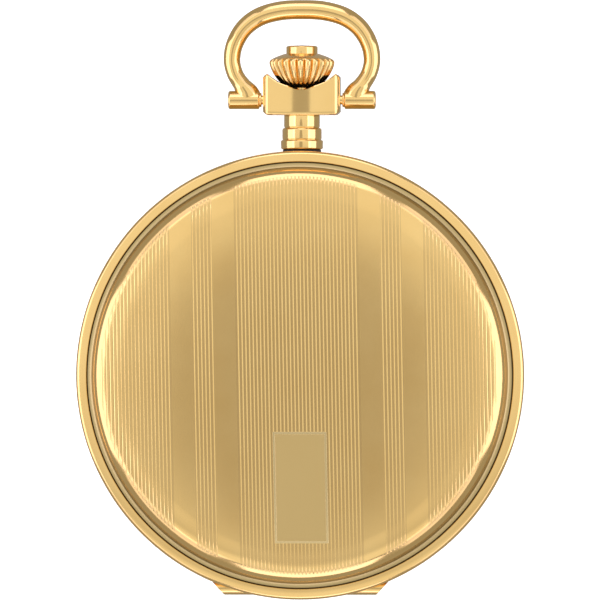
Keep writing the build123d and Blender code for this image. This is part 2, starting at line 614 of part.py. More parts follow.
with BuildPart() as pallet_fork:
    lever_end = away(PALLET, FORK, 4.7)
    plate([away(PALLET, FORK - 90, 0.25), away(lever_end, FORK - 90, 0.3), away(lever_end, FORK + 90, 0.3),
           away(PALLET, FORK + 90, 0.25)], 5.4, 5.6)
    for side in (-1, 1):
        lean = TOWARDS_ESCAPE + side * 68
        arm = away(PALLET, lean, 1.9)
        plate([away(PALLET, lean + 90, 0.25), away(arm, lean + 90, 0.2), away(arm, lean - 90, 0.2),
               away(PALLET, lean - 90, 0.25)], 5.4, 5.6)
    disc(PALLET, 0.4, 5.4, 5.6)
    disc(PALLET, 0.08, 4.4, 6.85)
save(pallet_fork, "pallet_fork", STEEL)

with BuildPart() as balance_wheel:
    turn([(4.3, 4.1), (4.85, 4.1), (4.85, 4.6), (4.3, 4.6)], BALANCE)
    block((BALANCE[0] - 4.4, BALANCE[0] + 4.4), (BALANCE[1] - 0.3, BALANCE[1] + 0.3), (4.2, 4.4))
    disc(BALANCE, 0.07, 2.95, 6.85)
    disc(BALANCE, 0.35, 3.9, 4.7)
    disc(BALANCE, 0.9, 4.7, 4.9)
save(balance_wheel, "balance_wheel", BRASS)

with BuildPart() as hairspring:
    for coil in range(8):
        radius = 0.5 + 0.3 * coil
        turn([(radius, 3.72), (radius + 0.06, 3.72), (radius + 0.06, 3.86), (radius, 3.86)], BALANCE)
    block((BALANCE[0] + 0.5, BALANCE[0] + 2.65), (BALANCE[1] - 0.03, BALANCE[1] + 0.03), (3.72, 3.86))
save(hairspring, "hairspring", BLUED)

# ---------------------------------------------------------------- motion work and hands
MINUTE_ARM = sqrt(MINUTE_WHEEL[0] ** 2 + MINUTE_WHEEL[1] ** 2)
CANNON_MODULE = 2 * MINUTE_ARM / 48
HOUR_MODULE = 2 * MINUTE_ARM / 50

with BuildPart() as cannon_pinion:
    gear(CENTRE, 12, CANNON_MODULE, bearing(CENTRE, MINUTE_WHEEL), 7.1, 7.35, 0.3)
    turn([(0.3, 7.1), (0.5, 7.1), (0.5, 9.0), (0.3, 9.0)])
save(cannon_pinion, "cannon_pinion", STEEL)

with BuildPart() as minute_wheel:
    gear(MINUTE_WHEEL, 36, CANNON_MODULE, bearing(MINUTE_WHEEL, CENTRE) + 5, 7.1, 7.35, 0.37)
    gear(MINUTE_WHEEL, 10, HOUR_MODULE, bearing(MINUTE_WHEEL, CENTRE), 7.35, 7.8, 0.37)
save(minute_wheel, "minute_wheel", BRASS)

with BuildPart() as hour_wheel:
    gear(CENTRE, 40, HOUR_MODULE, bearing(CENTRE, MINUTE_WHEEL) + 4.5, 7.5, 7.75, 0.55)
    turn([(0.55, 7.5), (0.9, 7.5), (0.9, 8.75), (0.55, 8.75)])
save(hour_wheel, "hour_wheel", BRASS)


def hand(bearing_deg, length, width, tail, hub, bore, z_low, z_high):
    """Tapered hand with a hub and a short tail."""
    tip = away(CENTRE, bearing_deg, length)
    shoulder = away(CENTRE, bearing_deg, length * 0.72)
    back = away(CENTRE, bearing_deg + 180, tail)
    plate([
        away(CENTRE, bearing_deg - 90, width * 0.3), away(shoulder, bearing_deg - 90, width / 2), tip,
        away(shoulder, bearing_deg + 90, width / 2), away(CENTRE, bearing_deg + 90, width * 0.3),
        away(back, bearing_deg + 90, width * 0.3), away(back, bearing_deg - 90, width * 0.3),
    ], z_low, z_high)
    disc(CENTRE, hub, z_low, z_high)
    disc(CENTRE, bore, z_low, z_high, Mode.SUBTRACT)


with BuildPart() as hour_hand:
    hand(90 - 305, 9.2, 1.2, 0.1, 1.3, 0.9, 8.5, 8.65)
save(hour_hand, "hour_hand", BLUED)

with BuildPart() as minute_hand:
    hand(90 - 60, 15.6, 0.9, 0.1, 1.1, 0.3, 9.0, 9.15)
    disc(CENTRE, 0.3, 9.0, 9.2)
save(minute_hand, "minute_hand", BLUED)

with BuildPart() as seconds_hand:
    plate([(-0.12, -12.0), (-0.04, -6.0), (0.04, -6.0), (0.12, -12.0)], 8.26, 8.34)
    disc(FOURTH, 0.35, 8.26, 8.38)
save(seconds_hand, "seconds_hand", BLUED)
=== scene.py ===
# %% [markdown]
# # A hunter-case pocket watch
# A gold watch whose dial is hidden under an engraved front cover. The case is turned and polished,
# the cover is ruled with fine straight lines, and inside sits a hand-wound movement.
# Everything below is in millimetres until the moment it becomes a mesh; the frame is in metres.

# %% The frame
import json
import math
import bpy
import numpy as np
from mathutils import Matrix, Vector


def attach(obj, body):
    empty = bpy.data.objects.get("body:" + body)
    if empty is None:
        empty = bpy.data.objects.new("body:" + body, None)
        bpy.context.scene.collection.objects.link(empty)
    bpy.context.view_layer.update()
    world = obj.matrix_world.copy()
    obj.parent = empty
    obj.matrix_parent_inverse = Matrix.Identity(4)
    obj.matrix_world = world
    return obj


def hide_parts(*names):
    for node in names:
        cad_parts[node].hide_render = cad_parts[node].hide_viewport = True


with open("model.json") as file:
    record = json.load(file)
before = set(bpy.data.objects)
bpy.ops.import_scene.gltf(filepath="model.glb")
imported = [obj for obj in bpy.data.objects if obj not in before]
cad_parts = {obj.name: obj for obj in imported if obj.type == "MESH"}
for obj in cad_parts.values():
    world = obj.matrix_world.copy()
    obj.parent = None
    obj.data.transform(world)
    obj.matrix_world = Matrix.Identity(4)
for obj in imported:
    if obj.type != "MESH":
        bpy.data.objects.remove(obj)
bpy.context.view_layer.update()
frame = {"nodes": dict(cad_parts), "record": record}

# %% [markdown]
# ## Tools of the bench
# A surface is a grid of points: its rows run one way, its columns the other. Where a row or column
# closes on itself the faces join up, and an open end is closed with a fan of faces around its middle.

# %% Surfaces from grids
MM = 0.001


def surface(name, grid, around=True, along=False, caps=True, crease=28.0):
    """Mesh from an array (rows, columns, 3) in millimetres. Faces join neighbouring points; `around`
    closes the columns, `along` closes the rows, `caps` fans the first and last row to its mean."""
    rows, columns = grid.shape[:2]
    points = grid.reshape(-1, 3) * MM
    index = np.arange(rows * columns).reshape(rows, columns)
    if around:
        index = np.hstack([index, index[:, :1]])
    if along:
        index = np.vstack([index, index[:1]])
    quads = np.stack([index[:-1, :-1], index[:-1, 1:], index[1:, 1:], index[1:, :-1]], -1).reshape(-1, 4)
    faces = quads.tolist()
    if caps and not along:
        for row, flip in ((0, True), (rows - 1, False)):
            middle = len(points)
            points = np.vstack([points, grid[row].mean(0) * MM])
            a, b = index[row, :-1], index[row, 1:]
            fan = np.stack([b if flip else a, a if flip else b, np.full(len(a), middle)], -1)
            faces += fan.tolist()
    mesh = bpy.data.meshes.new(name)
    mesh.from_pydata(points.tolist(), [], faces)
    return finish_mesh(name, mesh, crease)


def finish_mesh(name, mesh, crease):
    """Merges doubled points, turns the faces outwards, smooths all but the sharp edges."""
    import bmesh
    work = bmesh.new()
    work.from_mesh(mesh)
    bmesh.ops.remove_doubles(work, verts=work.verts, dist=1e-7)
    bmesh.ops.dissolve_degenerate(work, edges=work.edges, dist=1e-7)
    bmesh.ops.recalc_face_normals(work, faces=work.faces)
    if work.calc_volume(signed=True) < 0:
        bmesh.ops.reverse_faces(work, faces=work.faces)
    work.to_mesh(mesh)
    work.free()
    mesh.polygons.foreach_set("use_smooth", np.ones(len(mesh.polygons), bool))
    mesh.set_sharp_from_angle(angle=math.radians(crease))
    piece = bpy.data.objects.new(name, mesh)
    bpy.context.scene.collection.objects.link(piece)
    return piece


def rounded(points, radius, steps=5, closed=True):
    """Profile with its corners rounded: each corner gives way to a small curve whose weights are
    (1-t)^2, 2t(1-t) and t^2 on the way in, the corner itself and the way out."""
    points = np.asarray(points, float)
    before, after = np.roll(points, 1, 0), np.roll(points, -1, 0)
    t = np.linspace(0, 1, steps)[:, None]
    out = []
    for i, corner in enumerate(points):
        if not closed and i in (0, len(points) - 1):
            out.append(corner[None])
            continue
        reach = [min(radius, 0.45 * np.linalg.norm(p - corner)) for p in (before[i], after[i])]
        start, end = (corner + (p - corner) / np.linalg.norm(p - corner) * d
                      for p, d in zip((before[i], after[i]), reach))
        out.append((1 - t) ** 2 * start + 2 * t * (1 - t) * corner + t ** 2 * end)
    return np.vstack(out)


def arc(start, end, sag, count):
    """Points on a shallow arc: the straight line plus sag * 4t(1-t) to its left."""
    start, end = np.asarray(start, float), np.asarray(end, float)
    t = np.linspace(0, 1, count)[:, None]
    side = np.array([start[1] - end[1], end[0] - start[0]]) / np.linalg.norm(end - start)
    return start + t * (end - start) + sag * 4 * t * (1 - t) * side


def lathe(profile, count=240, axis="Z", centre=(0.0, 0.0, 0.0)):
    """Grid of a turned piece: radius r and height h of the profile at angle a give
    (r cos a, r sin a, h), laid along the axis asked for."""
    profile = np.asarray(profile, float)
    a = np.linspace(0, 2 * np.pi, count, endpoint=False)
    r, h = profile[:, :1], profile[:, 1:]
    one, two, three = r * np.cos(a), r * np.sin(a), h + 0 * a
    order = {"Z": (one, two, three), "Y": (one, three, two), "X": (three, one, two)}[axis]
    return np.stack(order, -1) + np.asarray(centre)


print("bench ready")

# %% [markdown]
# ## Writing finishes as sums
# A finish is easier to read as arithmetic than as a wiring diagram. `Wire` holds one socket, and
# adding or multiplying wires lays the maths nodes.

# %% Shader arithmetic
class Wire:
    """One socket of a finish. Python's operators lay Math nodes."""

    def __init__(self, finish, socket):
        self.finish, self.socket = finish, socket

    def _math(self, kind, *others):
        return self.finish.node("ShaderNodeMath", {"operation": kind}, self, *others)

    def __add__(self, other): return self._math("ADD", other)
    def __sub__(self, other): return self._math("SUBTRACT", other)
    def __mul__(self, other): return self._math("MULTIPLY", other)
    def __truediv__(self, other): return self._math("DIVIDE", other)

    def __rsub__(self, other):
        return self.finish.node("ShaderNodeMath", {"operation": "SUBTRACT"}, other, self)

    def __gt__(self, other): return self._math("GREATER_THAN", other)
    def __lt__(self, other): return self._math("LESS_THAN", other)
    def __abs__(self): return self._math("ABSOLUTE")
    __radd__, __rmul__ = __add__, __mul__

    def sin(self): return self._math("SINE")
    def sqrt(self): return self._math("SQRT")
    def clamp(self): return self.finish.node("ShaderNodeClamp", {}, self)


class Finish:
    """A material: its Principled shader, and one method that adds any other node."""

    def __init__(self, name, **constants):
        self.material = bpy.data.materials.new(name)
        self.material.use_nodes = True
        self.tree = self.material.node_tree
        self.shader = self.tree.nodes["Principled BSDF"]
        self.set(**constants)

    def set(self, **values):
        for key, value in values.items():
            self._feed(self.shader.inputs[key.replace("_", " ")], value)
        return self

    def _feed(self, socket, value):
        if isinstance(value, Wire):
            self.tree.links.new(value.socket, socket)
        else:
            socket.default_value = value

    def node(self, kind, settings, *values, output=0, **named):
        made = self.tree.nodes.new(kind)
        for key, value in settings.items():
            setattr(made, key, value)
        for place, value in enumerate(values):
            self._feed(made.inputs[place], value)
        for key, value in named.items():
            self._feed(made.inputs[key.replace("_", " ")], value)
        return Wire(self, made.outputs[output])

    def place(self):
        """Position on the piece, in millimetres, as (vector, x, y, z)."""
        here = self.node("ShaderNodeTexCoord", {}, output=3)
        here = self.node("ShaderNodeVectorMath", {"operation": "SCALE"}, here, Scale=1000.0)
        split = self.tree.nodes.new("ShaderNodeSeparateXYZ")
        self.tree.links.new(here.socket, split.inputs[0])
        return (here,) + tuple(Wire(self, split.outputs[i]) for i in range(3))

    def stretch(self, vector, scale):
        return self.node("ShaderNodeVectorMath", {"operation": "MULTIPLY"}, vector, scale)

    def noise(self, vector, scale, detail=4.0, rough=0.55):
        return self.node("ShaderNodeTexNoise", {}, Vector=vector, Scale=scale, Detail=detail, Roughness=rough)

    def blend(self, share, first, second):
        """Colour mixed from first to second as share goes from 0 to 1."""
        made = self.tree.nodes.new("ShaderNodeMix")
        made.data_type = "RGBA"
        self._feed(made.inputs[0], share)
        self._feed(made.inputs[6], first)
        self._feed(made.inputs[7], second)
        return Wire(self, made.outputs[2])

    def relief(self, height, depth_mm):
        """Surface normal raised by height (0 to 1) times depth_mm."""
        return self.node("ShaderNodeBump", {}, Strength=1.0, Distance=depth_mm * MM, Height=height)


def colour(r, g, b):
    return (r, g, b, 1.0)


GOLD_LIGHT, GOLD_DEEP = colour(0.95, 0.655, 0.265), colour(0.86, 0.555, 0.195)


def polished_gold(name, rough):
    """Buffed gold: slow colour drift, hairline wear, faint handling marks."""
    f = Finish(name, Metallic=1.0)
    here = f.place()[0]
    drift = f.noise(here, 0.18, 2.0)
    hair = f.noise(f.stretch(here, (1.2, 7.0, 5.0)), 2.2, 5.0)
    smear = f.noise(here, 0.6, 5.0, 0.7)
    f.set(Base_Color=f.blend(drift, GOLD_LIGHT, GOLD_DEEP), Roughness=rough + 0.10 * smear,
          Normal=f.relief(hair, 0.0012))
    return f.material


# %% [markdown]
# ## The ruled front cover
# The lines are cut with a straight-line engine at a steady 0.4 mm pitch. Two stripes on each side
# of the middle are left plain, and so is a small name plate with a fine frame, low in the centre.

# %% Ruled gold
PITCH = 0.40
LEAN = 0.0187           # the ruling stands a degree off the pendant's line
FIELD_R = 21.5
DOME_FALL, OUTER_SKIN = 0.00171, 12.62     # parts the cover's outer skin from its lining
PLATE_LOW, PLATE_HIGH, PLATE_HALF, FRAME_WIDE = -18.1, -6.1, 2.9, 0.22
MIDDLE_EDGE, NARROW_IN, NARROW_OUT, OUTER_EDGE = 6.7, 9.1, 11.35, 13.7    # where the ruled groups end
FURROW = 0.55           # share of the sine's height that a furrow takes up
COVE_IN, COVE_OUT = 22.24, 22.98
CREASE_R, CREASE_HALF = 23.02, 0.07


def ruled_gold(name, groove=0.016, with_plate=True):
    """Polished gold with V grooves: s = |sin(pi u / pitch)|, u being the distance across the lines, and
    the surface falls in proportion to 1 - s / FURROW wherever s is below FURROW."""
    f = Finish(name, Metallic=1.0)
    here, x, y, z = f.place()
    u = x + LEAN * y
    across = abs(u)
    radius = (x * x + y * y).sqrt()
    middle_group = across < MIDDLE_EDGE
    narrow_group = (across > NARROW_IN) * (across < NARROW_OUT)
    outer_group = across > OUTER_EDGE
    ruled = (middle_group + narrow_group + outer_group) * (radius < FIELD_R)
    outer_skin = z + radius * radius * DOME_FALL > OUTER_SKIN
    if with_plate:
        ruled = ruled * outer_skin
    in_plate = (across < PLATE_HALF) * (y > PLATE_LOW) * (y < PLATE_HIGH)
    in_frame = ((across < PLATE_HALF - FRAME_WIDE) * (y > PLATE_LOW + FRAME_WIDE)
                * (y < PLATE_HIGH - FRAME_WIDE))
    shown = outer_skin * float(with_plate)
    in_plate, in_frame = in_plate * shown, in_frame * shown
    ruled = ruled * (1.0 - in_plate)
    furrow = (1.0 - abs((u * (math.pi / PITCH)).sin()) * (1 / FURROW)).clamp()
    drift = f.noise(here, 0.18, 2.0)
    hair = f.noise(f.stretch(here, (6.0, 1.0, 1.0)), 2.0, 4.0)
    depth = f.noise(f.stretch(here, (2.4, 0.06, 1.0)), 1.0, 2.0)
    cut = ruled * furrow * (0.8 + 0.4 * depth)
    height = 0.0 - cut + 0.04 * hair - 0.5 * in_plate + 0.25 * (in_plate - in_frame)
    cove = (radius > COVE_IN) * (radius < COVE_OUT)
    crease_shade = abs(radius - CREASE_R) < CREASE_HALF
    tone = f.blend(drift, GOLD_LIGHT, GOLD_DEEP)
    # painted shade: the flat lands between the cut lines are coloured darker, so the lines read as bright
    # lines
    tone = f.blend(ruled * (1.0 - furrow) * 0.45, tone, colour(0.62, 0.42, 0.17))
    # painted shade: the cove between the shoulder and the rim is coloured a dark brown gold
    tone = f.blend(cove * 0.92, tone, colour(0.47, 0.36, 0.16))
    # painted highlight: the name plate's raised border is coloured a paler, brighter gold
    tone = f.blend((in_plate - in_frame) * 0.7, tone, colour(1.0, 0.80, 0.42))
    # painted shade: a thin near-black ring is coloured along the crease between the cove and the rim
    tone = f.blend(crease_shade * 0.85, tone, colour(0.10, 0.06, 0.02))
    # painted shade: the plate's satin middle is coloured a darker gold; its extra roughness is the real satin
    tone = f.blend(in_frame * 0.85, tone, colour(0.58, 0.42, 0.17))
    rough = 0.10 + 0.04 * ruled + 0.26 * in_frame + 0.22 * cove + 0.06 * hair
    f.set(Base_Color=tone, Roughness=rough, Normal=f.relief(height, groove))
    return f.material


RULED = ruled_gold("ruled_gold")
BACK_RULED = ruled_gold("ruled_gold_back", with_plate=False)
BRIGHT = polished_gold("bright_gold", 0.06)
SOFT = polished_gold("soft_gold", 0.16)
print("gold finishes:", RULED.name, BRIGHT.name, SOFT.name)

# %% [markdown]
# The cover is a shallow dome with a rolled shoulder, a narrow cove and an upright rim. It is turned
# from one closed profile. Under the hinge the rim is relieved by a round groove, so that it can
# swing: every point nearer to the hinge's axis than the groove's radius is pushed out to it.

# %% Front cover
HINGE_Y, HINGE_Z, HINGE_RELIEF = -23.0, 8.75, 0.8
COVER_TOP, COVER_LOW, RIM_R = 13.0, 9.0, 24.25


def dome(radius, top, edge, count):
    """Profile from the axis to the edge: height = top - (top - edge) (r / radius)^2."""
    r = np.linspace(0.02, radius, count)
    return np.stack([r, top - (top - edge) * (r / radius) ** 2], 1)


shoulder = np.array([
    (20.1, 12.29), (20.55, 12.22), (21.0, 12.12), (21.4, 11.98), (21.75, 11.79), (22.03, 11.55),
    (22.23, 11.25), (22.34, 10.95), (22.42, 10.7), (22.53, 10.5), (22.7, 10.4), (22.94, 10.38)])
rim = rounded([
    (22.97, 10.05), (23.06, 10.05), (23.1, 10.32), (24.02, 10.1), (RIM_R, 9.86), (RIM_R, 9.25),
    (24.05, COVER_LOW), (22.65, COVER_LOW), (22.65, 9.78), (21.8, 10.1), (21.2, 11.0), (20.3, 11.4)],
    0.12, 4, False)
inside = dome(19.3, COVER_TOP - 0.7, 11.62, 24)[::-1]
cover_profile = np.vstack([dome(19.5, COVER_TOP, 12.35, 40), shoulder, rim, inside])


def relieved(grid, radius):
    """Points nearer than radius to the hinge's axis are pushed out to it."""
    away = grid[..., 1:] - (HINGE_Y, HINGE_Z)
    distance = np.linalg.norm(away, axis=-1, keepdims=True)
    pushed = away / np.maximum(distance, 1e-6) * np.maximum(distance, radius)
    return np.concatenate([grid[..., :1], pushed + (HINGE_Y, HINGE_Z)], -1)


def dress(piece, body, finish, *nodes):
    """Gives a new piece its finish, its body and the frame nodes it stands for."""
    piece.data.materials.append(finish)
    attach(piece, body)
    if nodes:
        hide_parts(*nodes)
    return piece


front = surface("engraved_cover", relieved(lathe(cover_profile, 480), HINGE_RELIEF))
dress(front, "front_lid", RULED, "front_cover")
print("front cover faces:", len(front.data.polygons))

# %% [markdown]
# ## Case
# The back is ruled like the front but carries no name plate. The middle of the case is a plain
# polished band, cut away at the hinge and, inside, where the lock spring's tab swings. The bezel
# holds the glass under the cover.

# %% Back, band, bezel and glass
back_profile = np.vstack([
    np.stack([np.linspace(0.02, 10, 6), np.zeros(6)], 1),
    arc((10.4, 0.004), (21.4, 0.8), -0.22, 20), arc((21.7, 0.9), (23.6, 2.5), -0.42, 12),
    [(23.6, 2.58), (22.7, 2.58), (21.5, 1.75), (21.1, 1.62)], arc((20.5, 1.5), (0.02, 0.72), 0.25, 16)])
back = dress(surface("engraved_back", lathe(back_profile, 360)), "case", BACK_RULED, "back_cover")

BAND_BORE, TAB_HALF, TAB_FLOOR, LEDGE_Z = 21.2, 1.6, 4.0, 7.0
NOTCH_HALF, NOTCH_Y, NOTCH_LOW = 9.6, -22.9, 7.3
band_profile = np.vstack([
    arc((23.62, 2.62), (23.97, 7.2), -0.24, 16),
    [(23.96, 7.29), (23.96, 7.31), (23.93, 8.2), (23.9, 8.82), (23.82, 8.9), (22.4, 8.9), (22.4, 7.1),
     (21.0, 7.1), (21.0, 8.75), (20.75, 8.75), (20.75, 7.02), (BAND_BORE, 7.02), (BAND_BORE, 3.3),
     (21.9, 3.3), (21.9, 2.62)]])
band_grid = lathe(band_profile, 720)
band_x, band_y, band_z = np.moveaxis(band_grid, -1, 0)      # views, so edits to them reach the grid
notch = (np.abs(band_x) < NOTCH_HALF) & (band_y < NOTCH_Y) & (band_z > NOTCH_LOW)
band_y[notch] = NOTCH_Y
reach = np.hypot(band_x, band_y)
tab_way = ((np.abs(band_x) < TAB_HALF) & (band_y > 0) & (band_z > TAB_FLOOR) & (reach < 22.41)
           & (band_z < 8.8))
wider = np.maximum(reach, BAND_BORE) / reach
band_x[tab_way] *= wider[tab_way]
band_y[tab_way] *= wider[tab_way]
band_z[tab_way] = TAB_FLOOR + 0.01 * (band_z[tab_way] - LEDGE_Z)
band = dress(surface("polished_band", band_grid, along=True), "case", BRIGHT, "case_band")

bezel_profile = rounded([(19.62, 9.6), (20.0, 9.6), (20.45, 9.35), (20.7, 8.7), (20.7, 8.4), (19.2, 8.4),
                         (19.2, 8.7), (19.62, 9.05)], 0.12)
bezel = dress(surface("glass_bezel", lathe(bezel_profile, 300), along=True), "case", BRIGHT, "bezel")

clear = Finish("watch_glass", Transmission_Weight=1.0, IOR=1.45)
spot, _, _, _ = clear.place()
clear.set(Roughness=0.01 + 0.02 * clear.noise(spot, 0.5), Base_Color=clear.blend(
    clear.noise(spot, 0.1), colour(1, 1, 1), colour(0.97, 0.99, 0.99)))
glass_profile = np.vstack([dome(19.45, 11.1, 9.72, 20), [(19.5, 9.66), (19.5, 9.1)],
                           dome(19.45, 10.2, 9.07, 20)[::-1]])
glass = dress(surface("domed_glass", lathe(glass_profile, 240)), "case", clear.material, "crystal")
print("case pieces:", back.name, band.name, bezel.name, glass.name)

# %% [markdown]
# ## Pendant
# The neck is a short turned tube with stepped collars. The head is a flat-faced block whose top is
# scooped out for the crown; below the crown the scoop deepens into a round bowl.

# %% Neck and head
STEM_Z = 5.4
STEM = (0.0, 0.0, STEM_Z)
neck_profile = rounded([
    (1.12, 23.0), (1.58, 23.0), (1.58, 23.5), (1.98, 23.6), (1.98, 24.42), (2.27, 24.55), (2.29, 25.38),
    (2.2, 25.46), (2.06, 25.5), (2.13, 25.62), (2.13, 26.62), (2.06, 26.75), (1.86, 26.8),
    (1.94, 26.95), (1.94, 28.2), (1.12, 28.2)], 0.09)
neck = dress(surface("turned_neck", lathe(neck_profile, 120, "Y", STEM), along=True), "case", BRIGHT,
             "pendant_neck")

HEAD_X, HEAD_Z, HEAD_LOW = 4.16, 2.3, 28.19
SADDLE_Y, SADDLE_R, HORN_Y, FACE_R = 31.16, 5.42, 32.62, 14.0
BOWL_FLOOR, BOWL_R, BOWL_RISE = 30.9, 2.2, 1.18


def head_grid(columns=121, across=61):
    """Upright slices x = const. The top of a slice is the saddle's arc y = low + R - sqrt(R^2 - x^2),
    cut down by the bowl, whose floor rises with the distance from the stem's axis, and by a stepped
    bore. The front and back faces bow out a little, like parts of a drum of radius FACE_R, and the
    slices shrink at both ends to leave a small bevel."""
    ends = np.array([0.0, 0.06, 0.16, 0.30, 0.46])
    between = np.linspace(-HEAD_X + 0.55, HEAD_X - 0.55, columns)
    x = np.concatenate([-HEAD_X + ends, between, HEAD_X - ends[::-1]])
    edge = HEAD_X - np.abs(x)
    inset = 0.34 * np.clip(1 - edge / 0.42, 0, 1) ** 1.3
    saddle = SADDLE_Y + SADDLE_R - np.sqrt(np.maximum(SADDLE_R ** 2 - x ** 2, 0))
    saddle = np.minimum(saddle, HORN_Y) - inset
    half = HEAD_Z - inset - (FACE_R - np.sqrt(FACE_R ** 2 - x ** 2))
    z = np.linspace(-1, 1, across)[None, :] * half[:, None]
    from_axis = np.hypot(x[:, None], z)
    bowl = BOWL_FLOOR + np.clip(from_axis - BOWL_R, 0, 9) * BOWL_RISE
    bore = np.where(from_axis < 1.12, 28.32, np.where(from_axis < 1.28, 29.6, 99.0))
    corner = 0.14 * np.clip(1 - (half[:, None] - np.abs(z)) / 0.12, 0, 1) ** 2
    top = np.minimum(np.minimum(saddle[:, None], bowl), bore) - corner
    bottom = np.repeat((HEAD_LOW + inset)[:, None], across, 1) + corner
    wide = np.repeat(x[:, None], across, 1)
    over = np.stack([wide, top, z + STEM_Z], -1)
    under = np.stack([wide, bottom, z + STEM_Z], -1)
    down = np.linspace(0, 1, 12)[1:-1, None]
    front = over[:, -1:] + (under[:, -1:] - over[:, -1:]) * down[None]
    behind = under[:, :1] + (over[:, :1] - under[:, :1]) * down[None]
    return np.concatenate([over, front, under[:, ::-1], behind], 1)


def block_gold(name):
    """Polished gold, with painted shade inside the bowl: near black within 3.3 mm of the stem's axis, above
    the bowl's floor and behind the flat faces."""
    f = Finish(name, Metallic=1.0)
    here, x, y, z = f.place()
    deep = z - STEM_Z
    bowl = ((x * x + deep * deep).sqrt() < 3.3) * (y > 30.4) * (abs(deep) < 2.02)
    drift, hair = f.noise(here, 0.2, 2.0), f.noise(here, 3.0, 5.0)
    tone = f.blend(drift, GOLD_LIGHT, GOLD_DEEP)
    # painted shade: the inside of the bowl under the crown is coloured near black
    tone = f.blend(bowl, tone, colour(0.012, 0.009, 0.006))
    f.set(Base_Color=tone, Roughness=0.07 + 0.05 * hair + 0.5 * bowl, Normal=f.relief(hair, 0.001))
    return f.material


head = dress(surface("pendant_block", head_grid(), crease=35), "case", block_gold("block_gold"),
             "pendant_head")
print("head faces:", len(head.data.polygons))

# %% [markdown]
# ## Crown, push button and bow
# The crown's twenty-four ribs are pressed: broad at the shoulder and closing to points below. The
# bow is bent from round wire that is thicker at the top than at the sides, and its two ends turn
# on screws in little barrels.

# %% Crown and button
RIBS, RIB_DEEP, CROWN_R, CROWN_TOP, AROUND = 24, 0.46, 3.54, 34.24, 480
outline = rounded([
    (1.25, 31.15), (1.7, 31.2), (2.3, 31.62), (2.86, 32.3), (3.28, 33.0), (3.5, 33.6), (CROWN_R, 33.98),
    (3.36, 34.22), (2.75, 34.52), (1.85, 34.84), (1.78, 34.84)], 0.3, 6, False)
stations = np.linspace(0, 1, 70)
run = np.concatenate([[0], np.cumsum(np.hypot(*np.diff(outline, axis=0).T))])
outline = np.stack([np.interp(stations * run[-1], run, outline[:, i]) for i in (0, 1)], 1)
angles = np.linspace(0, 2 * np.pi, AROUND, endpoint=False)
ribbed = np.clip((CROWN_TOP - outline[:, 1]) / 0.16, 0, 1) * np.clip((outline[:, 0] - 1.3) / 0.5, 0, 1)
valley = 1 - np.abs(np.cos(angles * RIBS / 2)) ** 0.55
radius = outline[:, :1] - (RIB_DEEP * ribbed * (outline[:, 0] / CROWN_R))[:, None] * valley
side = np.stack([radius * np.cos(angles), np.repeat(outline[:, 1:], AROUND, 1),
                 radius * np.sin(angles) + STEM_Z], -1)
well = lathe([(1.78, 34.8), (1.76, 33.7), (0.36, 33.7), (0.36, 32.6), (0.62, 32.6), (0.62, 29.75),
              (1.2, 29.75), (1.2, 31.12)], AROUND, "Y", STEM)
crown = dress(surface("ribbed_crown", np.concatenate([side, well]), along=True, crease=50), "crown",
              SOFT, "crown")

button_profile = np.vstack([[(0.02, 22.1), (0.28, 22.1), (0.28, 34.4), (1.6, 34.4)],
                            rounded([(1.7, 34.45), (1.7, 35.62), (1.45, 35.7), (0.02, 35.76)],
                                    0.12, 5, False)])
button = dress(surface("push_button", lathe(button_profile, 160, "Y", STEM), crease=40),
               "release_button", BRIGHT, "release_button")

# %% Bow
PIVOT_Y = 29.82
bow_stations = np.array([
    (-5.85, 30.1), (-6.05, 30.75), (-6.55, 31.5), (-7.28, 32.7), (-7.6, 34.2), (-7.28, 35.95),
    (-6.25, 37.65), (-4.6, 38.85), (-2.4, 39.48), (0.0, 39.62)])
bow_stations = np.vstack([bow_stations, bow_stations[-2::-1] * (-1, 1)])


def smooth_path(stations, count):
    """Catmull-Rom curve through the stations, evaluated at even steps."""
    padded = np.vstack([2 * stations[0] - stations[1], stations, 2 * stations[-1] - stations[-2]])
    s = np.linspace(0, len(stations) - 1 - 1e-9, count)
    i = s.astype(int)
    t = (s - i)[:, None]
    a, b, c, d = (padded[i + k] for k in range(4))
    return 0.5 * (2 * b + (c - a) * t + (2 * a - 5 * b + 4 * c - d) * t ** 2
                  + (3 * b - a - 3 * c + d) * t ** 3)


path = smooth_path(bow_stations, 181)
tangent = np.gradient(path, axis=0)
tangent /= np.linalg.norm(tangent, axis=1, keepdims=True)
normal = np.stack([-tangent[:, 1], tangent[:, 0]], 1)
height = (path[:, 1] - 30.0) / 9.6
thick = 0.88 + 0.17 * np.clip(height, 0, 1) ** 2 + 0.55 * np.exp(-((path[:, 1] - 30.1) / 0.95) ** 2)
flat = np.minimum(thick, 0.98)
ring = np.linspace(0, 2 * np.pi, 40, endpoint=False)
wire = np.stack([
    path[:, :1] + normal[:, :1] * thick[:, None] * np.cos(ring),
    path[:, 1:] + normal[:, 1:] * thick[:, None] * np.cos(ring),
    STEM_Z + flat[:, None] * np.sin(ring)], -1)
bow = dress(surface("bow_wire", wire), "bow", BRIGHT, "bow")

barrel_profile = [(0.54, 4.40), (0.78, 4.40), (0.78, 4.62), (0.98, 4.66), (1.0, 4.76), (1.0, 7.80),
                  (0.94, 7.95), (0.80, 8.0), (0.74, 8.0), (0.74, 7.4), (0.54, 7.4)]
for side_name, side_sign in (("left", -1), ("right", 1)):
    grid = lathe(rounded(barrel_profile, 0.06), 96, "X", (0.0, PIVOT_Y, STEM_Z))
    grid[..., 0] *= side_sign
    barrel = dress(surface(f"bow_barrel_{side_name}", grid, along=True), "bow", BRIGHT, "bow")
print("bow and crown made")
